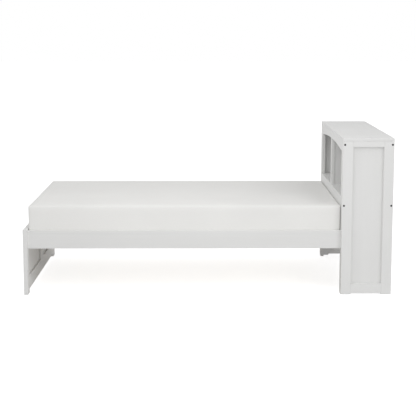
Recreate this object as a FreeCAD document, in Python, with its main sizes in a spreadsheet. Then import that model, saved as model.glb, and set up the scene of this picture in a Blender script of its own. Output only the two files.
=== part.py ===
import FreeCAD, Part
import math
import os
import Sketcher

# A twin bed whose headboard is a shallow bookcase with two open niches under an arched rail.
# The row frame: X runs from the foot (negative) to the head (positive), Y across, Z up from the
# floor, with the origin on the floor under the middle of the bed. "left" is the -Y side.

doc = FreeCAD.newDocument("BookcaseBed")

# ---------------------------------------------------------------------------------------------
# Driving dimensions in millimetres
# ---------------------------------------------------------------------------------------------

SIZES = [
    ("mattress_length", 1905, "a twin mattress, head to foot"),
    ("mattress_width", 990, "a twin mattress, side to side"),
    ("mattress_height", 202.5, "its height to the top of the crown"),
    ("mattress_end_gap", 4, "room between the mattress and each end of the bed"),
    ("mattress_side_gap", 2, "room between the mattress and each side rail"),
    ("mattress_corner", 30, "its corner radius seen from above"),
    ("mattress_roll", 16, "the round of its top edge"),
    ("mattress_foot_roll", 16, "the round of its bottom edge"),
    ("mattress_crown", 5, "how far its middle stands above its top edge"),
    ("mattress_draw", 2.5, "how far its sides draw in at half height"),
    ("soft_clearance", 0.3, "room under the mattress"),
    ("rail_thickness", 20, "side rail, across the bed"),
    ("rail_height", 112, "side rail, up and down"),
    ("rail_bottom", 284, "floor to the lower edge of the side rails"),
    ("rail_inset", 28, "outer face of a side rail behind the outer face of the bed's ends"),
    ("ledger_depth", 20, "the strip that carries the slats, across the bed"),
    ("ledger_height", 30, "the same strip, up and down"),
    ("ledger_lift", 13, "the strip's lower edge above the side rail's lower edge"),
    ("ledger_end_gap", 12, "the strip stops short of each end of the side rail"),
    ("slat_pitch", 160, "middle of a slat to the middle of the next"),
    ("slat_end_room", 30, "least room between an end of the side rails and a slat"),
    ("slat_width", 70, "a slat along the bed"),
    ("slat_thickness", 18, "a slat up and down"),
    ("slat_side_gap", 2, "room between a slat's end and the side rail"),
    ("foot_height", 406, "floor to the top of the footboard"),
    ("foot_thickness", 26, "footboard, along the bed"),
    ("foot_post_width", 60, "footboard post, across the bed"),
    ("foot_lower_lift", 25, "floor to the footboard's lower rail"),
    ("foot_lower_height", 81, "footboard's lower rail, up and down"),
    ("foot_upper_height", 70, "footboard's upper rail, up and down"),
    ("foot_stile_width", 120, "footboard's middle stile, across the bed"),
    ("foot_recess", 10, "footboard's panels behind its outer face"),
    ("case_depth", 309, "bookcase, front to back"),
    ("case_height", 965, "floor to the top of the bookcase"),
    ("top_thickness", 18, "the bookcase's top board"),
    ("top_ease", 3, "round on the top board's edges"),
    ("end_thickness", 25, "end frame of the bookcase, across the bed"),
    ("post_width", 61, "post of an end frame, front to back"),
    ("end_upper_height", 36, "upper rail of an end frame"),
    ("end_lower_height", 58.5, "lower rail of an end frame"),
    ("end_lower_lift", 8.5, "floor to the lower rail of an end frame"),
    ("frame_thickness", 22, "front and back frames, front to back"),
    ("stile_width", 40, "stile of the front and back frames"),
    ("frame_recess", 8, "panels of the front and back frames behind their outer face"),
    ("niche_height", 600, "floor to the top of the niches' floor board"),
    ("arched_rail_height", 67, "arched rail at its two ends"),
    ("arch_rise", 25, "the arch's middle above its ends"),
    ("arch_chamfer", 1.5, "chamfer along both edges of the arch"),
    ("middle_rail_height", 94, "rail in front of the niches' floor, and its twin at the back"),
    ("low_rail_height", 60, "lowest rail of the front and back frames"),
    ("mullion_width", 30, "upright between the two niches"),
    ("board_thickness", 18, "niche floor and divider"),
    ("cleat_side", 20, "square strip under each end of the niche floor"),
    ("panel_thickness", 6, "every thin panel"),
    ("groove_depth", 8, "groove that holds a panel and the rails' tongues"),
    ("mortise_depth", 12, "mortise for a tongue in the front and back frames"),
    ("mortise_shoulder", 8, "rail's edge to the edge of its tongue"),
    ("panel_gap", 0.5, "room around a panel at the bottom of its groove"),
    ("edge_ease", 2, "round on the edges of the wood"),
    ("bolt_diameter", 6, "every bolt"),
    ("bolt_play", 0.4, "bolt hole wider than its bolt"),
    ("bolt_head_diameter", 12, "bolt head"),
    ("bolt_head_height", 2.6, "bolt head"),
    ("bolt_head_sink", 2.8, "counterbore for a bolt head"),
    ("bolt_head_play", 0.5, "counterbore wider than its head"),
    ("key_width", 4, "hexagon socket of a bolt, across its flats"),
    ("key_depth", 1.8, "hexagon socket of a bolt"),
    ("bolt_inset", 11, "case bolt from the bookcase's front or back face"),
    ("bolt_drop", 40, "upper case bolt below the top of the bookcase"),
    ("insert_diameter", 10, "threaded insert"),
    ("insert_length", 15, "threaded insert"),
    ("rail_bolt_edge", 28, "rail bolt from the upper or lower edge of the side rail"),
    ("barrel_setback", 34, "barrel nut from the end of the side rail"),
    ("barrel_diameter", 10, "barrel nut"),
    ("barrel_length", 14, "barrel nut"),
    ("bolt_overrun", 6, "bolt past the middle of its barrel nut"),
    ("screw_diameter", 4, "wood screw"),
    ("screw_head_diameter", 8, "wood screw's head"),
    ("screw_head_height", 2.2, "wood screw's head"),
    ("screw_point", 6, "tapered end of a wood screw"),
    ("screw_tip_diameter", 1, "very end of a wood screw"),
    ("screw_play", 0.2, "pilot hole wider than its screw"),
    ("ledger_screw_length", 34, "screw through a ledger into its side rail"),
    ("slat_screw_length", 38, "screw through a slat into its ledger"),
    ("dowel_diameter", 8, "wooden dowel under the top board"),
    ("dowel_length", 30, "wooden dowel under the top board"),
    ("dowel_rise", 11, "part of a dowel that is inside the top board"),
    ("dowel_play", 0.2, "dowel hole wider than its dowel"),
    ("dowel_offset", 240, "rail dowels from the middle of the bed"),
]

SLAT_ROOM = "mattress_length + 2 * mattress_end_gap - 2 * slat_end_room - slat_width"
COUNTS = [
    ("slat_count", f"=floor(({SLAT_ROOM}) / slat_pitch) + 1", "number of slats that fit"),
]

sheet = doc.addObject("Spreadsheet::Sheet", "dims")
for row, (alias, value, meaning) in enumerate(SIZES + COUNTS, start=1):
    sheet.set(f"A{row}", meaning)
    sheet.set(f"B{row}", str(value))
    sheet.setAlias(f"B{row}", alias)
doc.recompute()

# Lengths that follow from the driving dimensions, written for the document's expressions
RAIL_LENGTH = "(dims.mattress_length + 2 * dims.mattress_end_gap)"
INNER_HALF = "(dims.mattress_width / 2 + dims.mattress_side_gap)"
HALF_WIDTH = f"({INNER_HALF} + dims.rail_thickness + dims.rail_inset)"
OVERALL = f"(dims.foot_thickness + {RAIL_LENGTH} + dims.case_depth)"
FOOT_X = f"(-{OVERALL} / 2)"
RAIL_X = f"({FOOT_X} + dims.foot_thickness)"
CASE_X = f"({RAIL_X} + {RAIL_LENGTH})"
CASE_TOP = "(dims.case_height - dims.top_thickness)"
CASE_HALF = f"({HALF_WIDTH} - dims.end_thickness)"
FRAME_HALF = f"({CASE_HALF} - dims.stile_width)"
NICHE_DEPTH = "(dims.case_depth - 2 * dims.frame_thickness)"
ARCH_SPRING = f"({CASE_TOP} - dims.arched_rail_height)"
MIDDLE_RAIL_Z = "(dims.niche_height - dims.middle_rail_height)"
LOW_RAIL_TOP = "(dims.rail_bottom + dims.low_rail_height)"
END_SPAN = "(dims.case_depth - 2 * dims.post_width)"
END_OPENING_Z = "(dims.end_lower_lift + dims.end_lower_height)"
END_UPPER_Z = f"({CASE_TOP} - dims.end_upper_height)"
FOOT_SPAN_HALF = f"({HALF_WIDTH} - dims.foot_post_width)"
FOOT_OPENING_Z = "(dims.foot_lower_lift + dims.foot_lower_height)"
FOOT_UPPER_Z = "(dims.foot_height - dims.foot_upper_height)"
LEDGER_Z = "(dims.rail_bottom + dims.ledger_lift)"
SLAT_Z = f"({LEDGER_Z} + dims.ledger_height)"
FIRST_SLAT = f"(({RAIL_LENGTH} - (dims.slat_count - 1) * dims.slat_pitch) / 2)"
BOLT_HOLE = "(dims.bolt_diameter + dims.bolt_play)"
HEAD_HOLE = "(dims.bolt_head_diameter + dims.bolt_head_play)"
PILOT = "(dims.screw_diameter + dims.screw_play)"
SCREW_HEAD_HOLE = "(dims.screw_head_diameter + dims.screw_play)"
DOWEL_HOLE = "(dims.dowel_diameter + dims.dowel_play)"
DOWEL_FALL = "(dims.dowel_length - dims.dowel_rise)"
RAIL_MIDDLE = f"({INNER_HALF} + dims.rail_thickness / 2)"
UPPER_BOLT_Z = "(dims.case_height - dims.bolt_drop)"
LOWER_BOLT_Z = f"({MIDDLE_RAIL_Z} + dims.middle_rail_height / 2)"
RAIL_BOLT_HEIGHTS = (
    "dims.rail_bolt_edge",
    "(dims.rail_height - dims.rail_bolt_edge)",
)

SIDES = {"left": -1, "right": 1}
PIECES = []


# ---------------------------------------------------------------------------------------------
# Small tools: a wooden piece is a body whose origin is its lowest corner
# ---------------------------------------------------------------------------------------------

def bind(thing, path, triple):
    """Tie the three parts of a vector property to three expressions."""
    for axis, expression in zip("xyz", triple):
        thing.setExpression(f"{path}.{axis}", expression)


def low_edge(side, inner, thickness):
    """Lowest Y of a piece whose inner face is a distance from the middle, on one side."""
    return inner if side > 0 else f"(-({inner}) - ({thickness}))"


def from_outside(side, whole, inset, thickness):
    """The same for a feature inside a piece, set in from the piece's outer face."""
    return inset if side < 0 else f"({whole} - {inset} - {thickness})"


def from_inside(side, whole, inset, thickness):
    """The same for a feature set in from the piece's inner face."""
    return inset if side > 0 else f"({whole} - {inset} - {thickness})"


def new_body(label, corner):
    body = doc.addObject("PartDesign::Body", label)
    body.Label = label
    bind(body, "Placement.Base", corner)
    PIECES.append(body)
    return body


def new_sketch(body, name, facing, place):
    """A sketch that faces along one axis, with its origin at a place in the body's own axes."""
    role = {"X": "YZ_Plane", "Y": "XZ_Plane", "Z": "XY_Plane"}[facing]
    plane = next(item for item in body.Origin.OriginFeatures if item.Role == role)
    sketch = body.newObject("Sketcher::SketchObject", f"{body.Name}_{name}_sketch")
    sketch.AttachmentSupport = [(plane, "")]
    sketch.MapMode = "FlatFace"
    x, y, z = place
    offset = {"X": (y, z, x), "Y": (x, z, f"-({y})"), "Z": (x, y, z)}[facing]
    bind(sketch, "AttachmentOffset.Base", offset)
    return sketch


def drive(sketch, constraint, name, expression):
    """Add a dimension and tie it to an expression."""
    index = sketch.addConstraint(constraint)
    sketch.renameConstraint(index, name)
    sketch.setExpression(f"Constraints.{name}", expression)


# Size at which a sketch is first drawn, before its dimensions follow their expressions
START = 10.0


def draw_rectangle(sketch, width, height):
    """A rectangle from the sketch's origin."""
    corners = [(0, 0), (START, 0), (START, START), (0, START)]
    for index in range(4):
        ends = [FreeCAD.Vector(*corners[(index + step) % 4], 0) for step in (0, 1)]
        sketch.addGeometry(Part.LineSegment(*ends))
    for index in range(4):
        sketch.addConstraint(Sketcher.Constraint("Coincident", index, 2, (index + 1) % 4, 1))
        sketch.addConstraint(Sketcher.Constraint(("Horizontal", "Vertical")[index % 2], index))
    sketch.addConstraint(Sketcher.Constraint("Coincident", 0, 1, -1, 1))
    drive(sketch, Sketcher.Constraint("DistanceX", 0, 1, 0, 2, START), "width", width)
    drive(sketch, Sketcher.Constraint("DistanceY", 1, 1, 1, 2, START), "height", height)


def draw_circle(sketch, diameter):
    """A circle around the sketch's origin."""
    sketch.addGeometry(Part.Circle(FreeCAD.Vector(0, 0, 0), FreeCAD.Vector(0, 0, 1), START / 2))
    sketch.addConstraint(Sketcher.Constraint("Coincident", 0, 3, -1, 1))
    drive(sketch, Sketcher.Constraint("Diameter", 0, START), "diameter", diameter)


def add_feature(body, kind, name, sketch, length, towards_normal):
    feature = body.newObject(f"PartDesign::{kind}", f"{body.Name}_{name}")
    feature.Profile = sketch
    feature.Reversed = towards_normal == (kind == "Pocket")
    feature.setExpression("Length", length)
    return feature


def add_block(body, name, place, extent):
    """Add a rectangular block to the piece."""
    sketch = new_sketch(body, name, "Z", place)
    draw_rectangle(sketch, extent[0], extent[1])
    return add_feature(body, "Pad", name, sketch, extent[2], True)


def cut_block(body, name, place, extent):
    """Cut a rectangular block out of the piece: a groove or a mortise."""
    sketch = new_sketch(body, name, "Z", place)
    draw_rectangle(sketch, extent[0], extent[1])
    return add_feature(body, "Pocket", name, sketch, extent[2], True)


def drill(body, name, along, place, diameter, depth):
    """Drill a round hole from a place, in the positive direction of one axis."""
    sketch = new_sketch(body, name, along, place)
    draw_circle(sketch, diameter)
    return add_feature(body, "Pocket", name, sketch, depth, along != "Y")


def repeat(body, name, original, pitch, count):
    """Repeat a hole along the bed."""
    doc.recompute()
    pattern = body.newObject("PartDesign::LinearPattern", f"{body.Name}_{name}")
    pattern.Originals = [original]
    axis = next(item for item in body.Origin.OriginFeatures if item.Role == "X_Axis")
    pattern.Direction = (axis, [""])
    pattern.setExpression("Occurrences", count)
    pattern.setExpression("Length", f"{pitch} * ({count} - 1)")
    body.Tip = pattern
    return pattern


def soften(body, kind, block, wanted, size):
    """Round or chamfer the block's edges that the test wants: it is given each edge's ends."""
    doc.recompute()
    names = []
    for number, edge in enumerate(block.Shape.Edges, start=1):
        first, last = (vertex.Point for vertex in edge.Vertexes)
        if wanted(first, last):
            names.append(f"Edge{number}")
    softened = body.newObject(f"PartDesign::{kind}", f"{body.Name}_{kind.lower()}")
    softened.Base = (block, names)
    softened.setExpression("Radius" if kind == "Fillet" else "Size", size)
    return softened


def ease(body, block, wanted, radius="dims.edge_ease"):
    return soften(body, "Fillet", block, wanted, radius)


def runs_along(axis):
    """Test for edges that run along one axis."""
    def test(first, last):
        step = last - first
        return abs(getattr(step, axis)) > 0.999 * step.Length
    return test


def upright_or_foot(first, last):
    """Test for a post's upright edges and the four edges of its foot."""
    return abs(last.z - first.z) > 1.0 or max(first.z, last.z) < 1.0


def board(label, corner, extent, along):
    """A plain board with its long edges eased."""
    body = new_body(label, corner)
    block = add_block(body, "board", ("0", "0", "0"), extent)
    ease(body, block, runs_along(along))
    return body


def sheet_panel(label, corner, extent):
    """A thin panel with sharp edges, which its grooves hide."""
    body = new_body(label, corner)
    add_block(body, "panel", ("0", "0", "0"), extent)
    return body


def cylinder(name, along, place, diameter, length):
    """A round bar from a place, in the positive direction of one axis."""
    bar = doc.addObject("Part::Cylinder", name)
    bar.setExpression("Radius", f"({diameter}) / 2")
    bar.setExpression("Height", length)
    bar.Placement.Rotation = ROTATIONS[along]
    bind(bar, "Placement.Base", place)
    return bar


def cone(name, along, place, near, far, length):
    """A tapered bar from a place, with its near and far diameters."""
    bar = doc.addObject("Part::Cone", name)
    bar.setExpression("Radius1", f"({near}) / 2")
    bar.setExpression("Radius2", f"({far}) / 2")
    bar.setExpression("Height", length)
    bar.Placement.Rotation = ROTATIONS[along]
    bind(bar, "Placement.Base", place)
    return bar


ROTATIONS = {
    "X": FreeCAD.Rotation(FreeCAD.Vector(0, 0, 1), FreeCAD.Vector(1, 0, 0)),
    "-X": FreeCAD.Rotation(FreeCAD.Vector(0, 0, 1), FreeCAD.Vector(-1, 0, 0)),
    "Y": FreeCAD.Rotation(FreeCAD.Vector(0, 0, 1), FreeCAD.Vector(0, 1, 0)),
    "-Y": FreeCAD.Rotation(FreeCAD.Vector(0, 0, 1), FreeCAD.Vector(0, -1, 0)),
    "Z": FreeCAD.Rotation(),
    "-Z": FreeCAD.Rotation(FreeCAD.Vector(0, 0, 1), FreeCAD.Vector(0, 0, -1)),
}


def fuse(name, first, second):
    made = doc.addObject("Part::Fuse", name)
    made.Base = first
    made.Tool = second
    return made


def group(label, members):
    """Identical fasteners that share one node."""
    made = doc.addObject("Part::Compound", label)
    made.Label = label
    made.Links = members
    PIECES.append(made)
    return made


def shifted(place, along, distance):
    """A place moved along a signed axis by an expression."""
    sign = "-" if along.startswith("-") else "+"
    axis = "XYZ".index(along[-1])
    moved = list(place)
    moved[axis] = f"({place[axis]} {sign} ({distance}))"
    return tuple(moved)


def bolt(name, along, place, shank):
    """A flat-headed bolt: its head's flat top is at the place and its shank runs along."""
    head = cylinder(f"{name}_head", along, place, "dims.bolt_head_diameter", "dims.bolt_head_height")
    rod = cylinder(f"{name}_rod", along, place, "dims.bolt_diameter",
                   f"(dims.bolt_head_height + {shank})")
    socket = doc.addObject("Part::Prism", f"{name}_socket")
    socket.Polygon = 6
    socket.setExpression("Circumradius", "dims.key_width / sqrt(3)")
    socket.setExpression("Height", "dims.key_depth")
    socket.Placement.Rotation = ROTATIONS[along]
    bind(socket, "Placement.Base", place)
    made = doc.addObject("Part::Cut", name)
    made.Base = fuse(f"{name}_whole", head, rod)
    made.Tool = socket
    return made


def screw(name, along, place, length):
    """A flat-headed wood screw with a tapered end: its head's flat top is at the place."""
    head = cylinder(f"{name}_head", along, place, "dims.screw_head_diameter",
                    "dims.screw_head_height")
    straight = f"({length} - dims.screw_point)"
    rod = cylinder(f"{name}_rod", along, place, "dims.screw_diameter", straight)
    point = cone(f"{name}_point", along, shifted(place, along, straight), "dims.screw_diameter",
                 "dims.screw_tip_diameter", "dims.screw_point")
    return fuse(name, fuse(f"{name}_shank", head, rod), point)


# ---------------------------------------------------------------------------------------------
# The bookcase's end frames: two posts, two rails and a panel, joined by tongue and groove
# ---------------------------------------------------------------------------------------------

def end_post(side_name, place_name):
    side = SIDES[side_name]
    front = place_name == "front"
    x = CASE_X if front else f"({CASE_X} + dims.case_depth - dims.post_width)"
    y = low_edge(side, CASE_HALF, "dims.end_thickness")
    body = new_body(f"{side_name}_{place_name}_post", (x, y, "0"))
    block = add_block(body, "post", ("0", "0", "0"), ("dims.post_width", "dims.end_thickness", CASE_TOP))
    ease(body, block, upright_or_foot)
    groove_x = "(dims.post_width - dims.groove_depth)" if front else "0"
    groove_y = from_inside(side, "dims.end_thickness", "0", "dims.panel_thickness")
    cut_block(body, "groove", (groove_x, groove_y, "dims.end_lower_lift"),
              ("dims.groove_depth", "dims.panel_thickness", f"({CASE_TOP} - dims.end_lower_lift)"))
    bolt_x = "dims.bolt_inset" if front else "(dims.post_width - dims.bolt_inset)"
    sink_y = from_outside(side, "dims.end_thickness", "0", "dims.bolt_head_sink")
    for name, z in (("upper", UPPER_BOLT_Z), ("lower", LOWER_BOLT_Z)):
        drill(body, f"{name}_bolt", "Y", (bolt_x, "0", z), BOLT_HOLE, "dims.end_thickness")
        drill(body, f"{name}_sink", "Y", (bolt_x, sink_y, z), HEAD_HOLE, "dims.bolt_head_sink")
    drill(body, "dowel", "Z", (DOWEL_POST_X[place_name], "(dims.end_thickness / 2)",
                               f"({CASE_TOP} - {DOWEL_FALL})"), DOWEL_HOLE, DOWEL_FALL)


def end_rail(side_name, place_name):
    side = SIDES[side_name]
    upper = place_name == "top"
    height = "dims.end_upper_height" if upper else "dims.end_lower_height"
    z = END_UPPER_Z if upper else "dims.end_lower_lift"
    y = low_edge(side, CASE_HALF, "dims.end_thickness")
    body = board(f"{side_name}_end_{place_name}_rail", (f"({CASE_X} + dims.post_width)", y, z),
                 (END_SPAN, "dims.end_thickness", height), "x")
    groove_y = from_inside(side, "dims.end_thickness", "0", "dims.panel_thickness")
    add_block(body, "tongue", ("-dims.groove_depth", groove_y, "0"),
              (f"({END_SPAN} + 2 * dims.groove_depth)", "dims.panel_thickness", height))
    groove_z = "0" if upper else f"({height} - dims.groove_depth)"
    cut_block(body, "groove", ("-dims.groove_depth", groove_y, groove_z),
              (f"({END_SPAN} + 2 * dims.groove_depth)", "dims.panel_thickness", "dims.groove_depth"))


def end_panel(side_name):
    side = SIDES[side_name]
    reach = "(dims.groove_depth - dims.panel_gap)"
    groove_y = from_inside(side, "dims.end_thickness", "0", "dims.panel_thickness")
    y = f"({low_edge(side, CASE_HALF, 'dims.end_thickness')} + {groove_y})"
    sheet_panel(f"{side_name}_end_panel",
                (f"({CASE_X} + dims.post_width - {reach})", y, f"({END_OPENING_Z} - {reach})"),
                (f"({END_SPAN} + 2 * {reach})", "dims.panel_thickness",
                 f"({END_UPPER_Z} - {END_OPENING_Z} + 2 * {reach})"))


DOWEL_POST_X = {
    "front": "(dims.post_width / 2 + dims.bolt_inset)",
    "rear": "(dims.post_width / 2 - dims.bolt_inset)",
}

for side_name in SIDES:
    for place_name in ("front", "rear"):
        end_post(side_name, place_name)
    for place_name in ("top", "bottom"):
        end_rail(side_name, place_name)
    end_panel(side_name)

# ---------------------------------------------------------------------------------------------
# The bookcase's front and back frames: stiles to the floor, rails and thin panels between them
# ---------------------------------------------------------------------------------------------

FRAME_X = {
    "front": CASE_X,
    "back": f"({CASE_X} + dims.case_depth - dims.frame_thickness)",
}
TONGUE_X = "((dims.frame_thickness - dims.panel_thickness) / 2)"
PANEL_X = {
    "front": "dims.frame_recess",
    "back": "(dims.frame_thickness - dims.frame_recess - dims.panel_thickness)",
}
RAILS = {
    "top": (ARCH_SPRING, "dims.arched_rail_height"),
    "middle": (MIDDLE_RAIL_Z, "dims.middle_rail_height"),
    "bottom": ("dims.rail_bottom", "dims.low_rail_height"),
}
SHOULDER = "dims.mortise_shoulder"


def frame_stile(frame, side_name):
    side = SIDES[side_name]
    y = low_edge(side, FRAME_HALF, "dims.stile_width")
    body = new_body(f"{frame}_{side_name}_stile", (FRAME_X[frame], y, "0"))
    block = add_block(body, "stile", ("0", "0", "0"),
                      ("dims.frame_thickness", "dims.stile_width", CASE_TOP))
    ease(body, block, upright_or_foot)
    mortise_y = from_inside(side, "dims.stile_width", "0", "dims.mortise_depth")
    for name, (z, height) in RAILS.items():
        cut_block(body, f"{name}_mortise", (TONGUE_X, mortise_y, f"({z} + {SHOULDER})"),
                  ("dims.panel_thickness", "dims.mortise_depth", f"({height} - 2 * {SHOULDER})"))
    groove_y = from_inside(side, "dims.stile_width", "0", "dims.groove_depth")
    for name, (low, high) in PANELS[frame].items():
        cut_block(body, f"{name}_groove", (PANEL_X[frame], groove_y, f"({low} - dims.groove_depth)"),
                  ("dims.panel_thickness", "dims.groove_depth",
                   f"({high} - {low} + 2 * dims.groove_depth)"))
    insert_x = "dims.bolt_inset" if frame == "front" else "(dims.frame_thickness - dims.bolt_inset)"
    insert_y = from_outside(side, "dims.stile_width", "0", "dims.insert_length")
    for name, z in (("upper", UPPER_BOLT_Z), ("lower", LOWER_BOLT_Z)):
        drill(body, f"{name}_insert", "Y", (insert_x, insert_y, z),
              "(dims.insert_diameter + dims.dowel_play)", "dims.insert_length")
    if frame == "front":
        bolt_y = from_outside(side, "dims.stile_width", f"({CASE_HALF} - {RAIL_MIDDLE})", "0")
        for number, z in enumerate(RAIL_BOLT_HEIGHTS, start=1):
            drill(body, f"rail_bolt_{number}", "X", ("0", bolt_y, f"(dims.rail_bottom + {z})"),
                  BOLT_HOLE, "dims.frame_thickness")


def tongues(body, length, z, height):
    """Tongues on both ends of a frame's rail, for the stiles' mortises."""
    add_block(body, "tongues", (TONGUE_X, "-dims.mortise_depth", z),
              ("dims.panel_thickness", f"({length} + 2 * dims.mortise_depth)", height))


def frame_rail(frame, name):
    z, height = RAILS[name]
    length = f"(2 * {FRAME_HALF})"
    body = board(f"{frame}_{name}_rail", (FRAME_X[frame], f"(-{FRAME_HALF})", z),
                 ("dims.frame_thickness", length, height), "y")
    tongues(body, length, SHOULDER, f"({height} - 2 * {SHOULDER})")
    extent = ("dims.panel_thickness", length, "dims.groove_depth")
    for panel, (low, high) in PANELS[frame].items():
        if low == RAIL_TOPS[name]:
            cut_block(body, f"{panel}_sill", (PANEL_X[frame], "0", f"({height} - dims.groove_depth)"),
                      extent)
        if high == z:
            cut_block(body, f"{panel}_head", (PANEL_X[frame], "0", "0"), extent)
    return body


def frame_panel(frame, name):
    low, high = PANELS[frame][name]
    reach = "(dims.groove_depth - dims.panel_gap)"
    sheet_panel(f"{frame}_{name}_panel",
                (f"({FRAME_X[frame]} + {PANEL_X[frame]})", f"(-{FRAME_HALF} - {reach})",
                 f"({low} - {reach})"),
                ("dims.panel_thickness", f"(2 * ({FRAME_HALF} + {reach}))",
                 f"({high} - {low} + 2 * {reach})"))


RAIL_TOPS = {"top": CASE_TOP, "middle": "dims.niche_height", "bottom": LOW_RAIL_TOP}
PANELS = {
    "front": {"lower": (LOW_RAIL_TOP, MIDDLE_RAIL_Z)},
    "back": {
        "lower": (LOW_RAIL_TOP, MIDDLE_RAIL_Z),
        "upper": ("dims.niche_height", ARCH_SPRING),
    },
}


def arched_rail():
    """The rail over the niches: its lower edge is one shallow arc from stile to stile."""
    body = new_body("front_arched_rail", (FRAME_X["front"], "0", ARCH_SPRING))
    sketch = new_sketch(body, "outline", "X", ("0", "0", "0"))
    half, rise, height = 480.0, 25.0, 67.0
    radius = (half ** 2 + rise ** 2) / (2 * rise)
    sweep = math.asin(half / radius)
    centre = FreeCAD.Vector(0, rise - radius, 0)
    circle = Part.Circle(centre, FreeCAD.Vector(0, 0, 1), radius)
    arc, right, top, left = range(4)
    sketch.addGeometry(Part.ArcOfCircle(circle, math.pi / 2 - sweep, math.pi / 2 + sweep))
    sketch.addGeometry(Part.LineSegment(FreeCAD.Vector(half, 0, 0), FreeCAD.Vector(half, height, 0)))
    sketch.addGeometry(Part.LineSegment(FreeCAD.Vector(half, height, 0),
                                        FreeCAD.Vector(-half, height, 0)))
    sketch.addGeometry(Part.LineSegment(FreeCAD.Vector(-half, height, 0), FreeCAD.Vector(-half, 0, 0)))
    for first, first_end, second, second_end in (
        (arc, 1, right, 1), (right, 2, top, 1), (top, 2, left, 1), (left, 2, arc, 2),
    ):
        sketch.addConstraint(Sketcher.Constraint("Coincident", first, first_end, second, second_end))
    sketch.addConstraint(Sketcher.Constraint("Vertical", right))
    sketch.addConstraint(Sketcher.Constraint("Vertical", left))
    sketch.addConstraint(Sketcher.Constraint("Horizontal", top))
    sketch.addConstraint(Sketcher.Constraint("PointOnObject", right, 1, -1))
    sketch.addConstraint(Sketcher.Constraint("Symmetric", right, 1, left, 2, -2))
    drive(sketch, Sketcher.Constraint("DistanceX", left, 2, right, 1, 2 * half), "span",
          f"2 * {FRAME_HALF}")
    drive(sketch, Sketcher.Constraint("DistanceY", right, 1, right, 2, height), "height",
          "dims.arched_rail_height")
    drive(sketch, Sketcher.Constraint("Radius", arc, radius), "radius",
          f"({FRAME_HALF} ^ 2 + dims.arch_rise ^ 2) / (2 * dims.arch_rise)")
    block = add_feature(body, "Pad", "arch", sketch, "dims.frame_thickness", True)
    eased = ease(body, block, lambda first, last: first.z > rise and abs(last.y - first.y) > half)
    soften(body, "Chamfer", eased, lambda first, last: first.z < 1.0 and abs(last.y - first.y) > half,
           "dims.arch_chamfer")
    tongue_y = f"(-{FRAME_HALF} - dims.mortise_depth)"
    for name, y in (("left", tongue_y), ("right", FRAME_HALF)):
        add_block(body, f"{name}_tongue", (TONGUE_X, y, SHOULDER),
                  ("dims.panel_thickness", "dims.mortise_depth",
                   f"(dims.arched_rail_height - 2 * {SHOULDER})"))
    cut_block(body, "mullion_mortise", (TONGUE_X, f"(-dims.mullion_width / 2 + {SHOULDER})",
                                        f"(dims.arch_rise - {SHOULDER})"),
              ("dims.panel_thickness", f"(dims.mullion_width - 2 * {SHOULDER})",
               f"(dims.mortise_depth + {SHOULDER})"))
    for name, sign in (("left", "-"), ("right", "")):
        drill(body, f"{name}_dowel", "Z", ("(dims.frame_thickness / 2)", f"{sign}dims.dowel_offset",
                                           f"(dims.arched_rail_height - {DOWEL_FALL})"),
              DOWEL_HOLE, DOWEL_FALL)


def mullion():
    """The upright between the niches: it stands on the middle rail and meets the arch's crown."""
    low = "dims.niche_height"
    high = f"({ARCH_SPRING} + dims.arch_rise)"
    body = board("front_mullion", (FRAME_X["front"], "(-dims.mullion_width / 2)", low),
                 ("dims.frame_thickness", "dims.mullion_width", f"({high} - {low} - {ARCH_SAG})"), "z")
    add_block(body, "tongues", (TONGUE_X, SHOULDER, "-dims.mortise_depth"),
              ("dims.panel_thickness", f"(dims.mullion_width - 2 * {SHOULDER})",
               f"({high} - {low} + 2 * dims.mortise_depth)"))


# How far the arch has fallen from its crown at the mullion's edge
ARCH_RADIUS = f"(({FRAME_HALF} ^ 2 + dims.arch_rise ^ 2) / (2 * dims.arch_rise))"
ARCH_SAG = f"({ARCH_RADIUS} - sqrt({ARCH_RADIUS} ^ 2 - (dims.mullion_width / 2) ^ 2))"

for frame in ("front", "back"):
    for side_name in SIDES:
        frame_stile(frame, side_name)
    for name in PANELS[frame]:
        frame_panel(frame, name)

front_middle = frame_rail("front", "middle")
cut_block(front_middle, "mullion_mortise",
          (TONGUE_X, f"({FRAME_HALF} - dims.mullion_width / 2 + {SHOULDER})",
           "(dims.middle_rail_height - dims.mortise_depth)"),
          ("dims.panel_thickness", f"(dims.mullion_width - 2 * {SHOULDER})", "dims.mortise_depth"))
frame_rail("front", "bottom")
frame_rail("back", "middle")
frame_rail("back", "bottom")
back_top = frame_rail("back", "top")
for name, sign in (("left", "-"), ("right", "+")):
    drill(back_top, f"{name}_dowel", "Z",
          ("(dims.frame_thickness / 2)", f"({FRAME_HALF} {sign} dims.dowel_offset)",
           f"(dims.arched_rail_height - {DOWEL_FALL})"), DOWEL_HOLE, DOWEL_FALL)
arched_rail()
mullion()

# ---------------------------------------------------------------------------------------------
# Inside the bookcase: the niches' floor on two cleats, the divider, and the top board
# ---------------------------------------------------------------------------------------------

INSIDE_X = f"({CASE_X} + dims.frame_thickness)"
FLOOR_Z = "(dims.niche_height - dims.board_thickness)"
sheet_panel("niche_floor", (INSIDE_X, f"(-{CASE_HALF})", FLOOR_Z),
            (NICHE_DEPTH, f"(2 * {CASE_HALF})", "dims.board_thickness"))
sheet_panel("niche_divider", (INSIDE_X, "(-dims.board_thickness / 2)", "dims.niche_height"),
            (NICHE_DEPTH, "dims.board_thickness", f"({CASE_TOP} - dims.niche_height)"))


def strip(name, place, extent):
    made = doc.addObject("Part::Box", name)
    for side, expression in zip(("Length", "Width", "Height"), extent):
        made.setExpression(side, expression)
    bind(made, "Placement.Base", place)
    return made


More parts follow.
